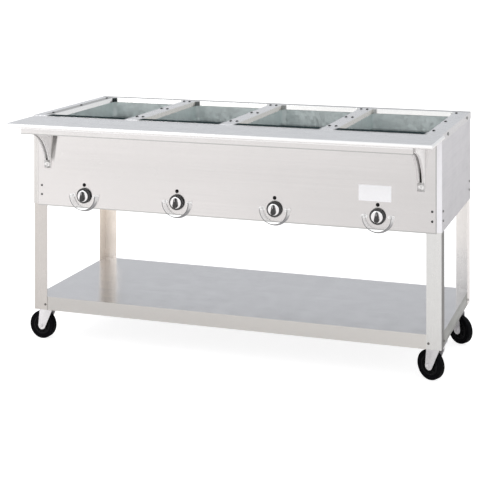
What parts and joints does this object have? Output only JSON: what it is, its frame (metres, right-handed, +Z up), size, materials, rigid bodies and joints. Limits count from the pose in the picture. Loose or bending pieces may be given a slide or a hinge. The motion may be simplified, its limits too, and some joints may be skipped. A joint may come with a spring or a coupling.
{
  "type": "electric hot food table",
  "caption": "Free-standing electric steam table on swivel casters, with dry wells, knob controls, a front work shelf on brackets and an open undershelf.",
  "frame": {"origin": "on the floor, below the middle of the cabinet's width and of the overall depth with the front shelf", "axes": "+X to the right seen from the front, +Y from the front shelf to the rear, +Z up"},
  "size_m": [1.5607, 0.7759, 0.8274],
  "materials": {
    "stainless_deck": "fine satin, bright on the folded edges",
    "stainless_panel": "satin, grain along the length",
    "stainless_shelf": "satin, blurred reflections",
    "stainless_leg": "satin, grain along the leg",
    "stainless_trim": "bright satin",
    "bracket_metal": "cast, lightly polished edges",
    "galvanised_liner": "galvanised, faint spangle",
    "galvanised_sheet": "galvanised, faint spangle",
    "element_sheath": "oxidised nickel-alloy tube",
    "glass_fibre": "compressed glass fibre",
    "screw_steel": "plain steel, dull",
    "zinc_plate": "bright zinc plate",
    "switch_case": "moulded",
    "knob_black": "moulded, semi-gloss",
    "knob_chrome": "spun bright",
    "pilot_lens": "smoked lens",
    "blank_label": "blank film",
    "wire_sleeve": "braided sleeve",
    "hub_black": "moulded",
    "tyre_black": "hard rubber, matt"
  },
  "bodies": {
    "cabinet": {"top_deck": "stainless_deck", "well_liner_1": "galvanised_liner", "well_liner_2": "galvanised_liner", "well_liner_3": "galvanised_liner", "well_liner_4": "galvanised_liner", "heating_elements": "element_sheath", "insulation_boards": "glass_fibre", "deck_screws": "screw_steel", "front_panel": "stainless_panel", "left_side_panel": "stainless_panel", "right_side_panel": "stainless_panel", "rear_panel": "stainless_panel", "bottom_pan": "galvanised_sheet", "front_left_leg": "stainless_leg", "front_right_leg": "stainless_leg", "rear_left_leg": "stainless_leg", "rear_right_leg": "stainless_leg", "undershelf": "stainless_shelf", "leg_screws": "screw_steel", "caster_channels": "galvanised_sheet", "front_shelf": "stainless_deck", "left_shelf_bracket": "bracket_metal", "right_shelf_bracket": "bracket_metal", "panel_screws": "screw_steel", "knob_guards": "stainless_trim", "infinite_switches": "switch_case", "pilot_lights": "pilot_lens", "rating_label": "blank_label", "terminal_box": "galvanised_sheet", "wiring_loom": "wire_sleeve", "caster_plates": "zinc_plate", "caster_bolts": "zinc_plate"},
    "knob_1": {"control_knob_1": "knob_black", "knob_face_1": "knob_chrome", "switch_shaft_1": "zinc_plate"},
    "knob_2": {"control_knob_2": "knob_black", "knob_face_2": "knob_chrome", "switch_shaft_2": "zinc_plate"},
    "knob_3": {"control_knob_3": "knob_black", "knob_face_3": "knob_chrome", "switch_shaft_3": "zinc_plate"},
    "knob_4": {"control_knob_4": "knob_black", "knob_face_4": "knob_chrome", "switch_shaft_4": "zinc_plate"},
    "front_left_caster": {"front_left_fork": "zinc_plate", "front_left_axle": "zinc_plate"},
    "front_left_wheel": {"front_left_hub": "hub_black", "front_left_tyre": "tyre_black"},
    "front_right_caster": {"front_right_fork": "zinc_plate", "front_right_axle": "zinc_plate"},
    "front_right_wheel": {"front_right_hub": "hub_black", "front_right_tyre": "tyre_black"},
    "rear_left_caster": {"rear_left_fork": "zinc_plate", "rear_left_axle": "zinc_plate"},
    "rear_left_wheel": {"rear_left_hub": "hub_black", "rear_left_tyre": "tyre_black"},
    "rear_right_caster": {"rear_right_fork": "zinc_plate", "rear_right_axle": "zinc_plate"},
    "rear_right_wheel": {"rear_right_hub": "hub_black", "rear_right_tyre": "tyre_black"}
  },
  "joints": [
    {"name": "knob_1_turn", "type": "hinge", "parent": "cabinet", "child": "knob_1", "pos_m": [-0.5394, -0.1825, 0.5475], "axis": [0, 1, 0], "range_deg": [0, 330]},
    {"name": "knob_2_turn", "type": "hinge", "parent": "cabinet", "child": "knob_2", "pos_m": [-0.1838, -0.1825, 0.5475], "axis": [0, 1, 0], "range_deg": [0, 330]},
    {"name": "knob_3_turn", "type": "hinge", "parent": "cabinet", "child": "knob_3", "pos_m": [0.1718, -0.1825, 0.5475], "axis": [0, 1, 0], "range_deg": [0, 330]},
    {"name": "knob_4_turn", "type": "hinge", "parent": "cabinet", "child": "knob_4", "pos_m": [0.5274, -0.1825, 0.5475], "axis": [0, 1, 0], "range_deg": [0, 330]},
    {"name": "front_left_swivel", "type": "hinge", "parent": "cabinet", "child": "front_left_caster", "pos_m": [-0.714, -0.1055, 0.12], "axis": [0, 0, 1], "continuous": true},
    {"name": "front_left_roll", "type": "hinge", "parent": "front_left_caster", "child": "front_left_wheel", "pos_m": [-0.74592, -0.10327, 0.05], "axis": [-0.0698, -0.9976, 0], "continuous": true},
    {"name": "front_right_swivel", "type": "hinge", "parent": "cabinet", "child": "front_right_caster", "pos_m": [0.714, -0.1055, 0.12], "axis": [0, 0, 1], "continuous": true},
    {"name": "front_right_roll", "type": "hinge", "parent": "front_right_caster", "child": "front_right_wheel", "pos_m": [0.68575, -0.09048, 0.05], "axis": [-0.4695, -0.8829, 0], "continuous": true},
    {"name": "rear_left_swivel", "type": "hinge", "parent": "cabinet", "child": "rear_left_caster", "pos_m": [-0.691, 0.3185, 0.12], "axis": [0, 0, 1], "continuous": true},
    {"name": "rear_left_roll", "type": "hinge", "parent": "rear_left_caster", "child": "rear_left_wheel", "pos_m": [-0.72, 0.33202, 0.05], "axis": [-0.4226, -0.9063, 0], "continuous": true},
    {"name": "rear_right_swivel", "type": "hinge", "parent": "cabinet", "child": "rear_right_caster", "pos_m": [0.691, 0.3185, 0.12], "axis": [0, 0, 1], "continuous": true},
    {"name": "rear_right_roll", "type": "hinge", "parent": "rear_right_caster", "child": "rear_right_wheel", "pos_m": [0.71784, 0.30107, 0.05], "axis": [0.5446, 0.8387, 0], "continuous": true}
  ]
}
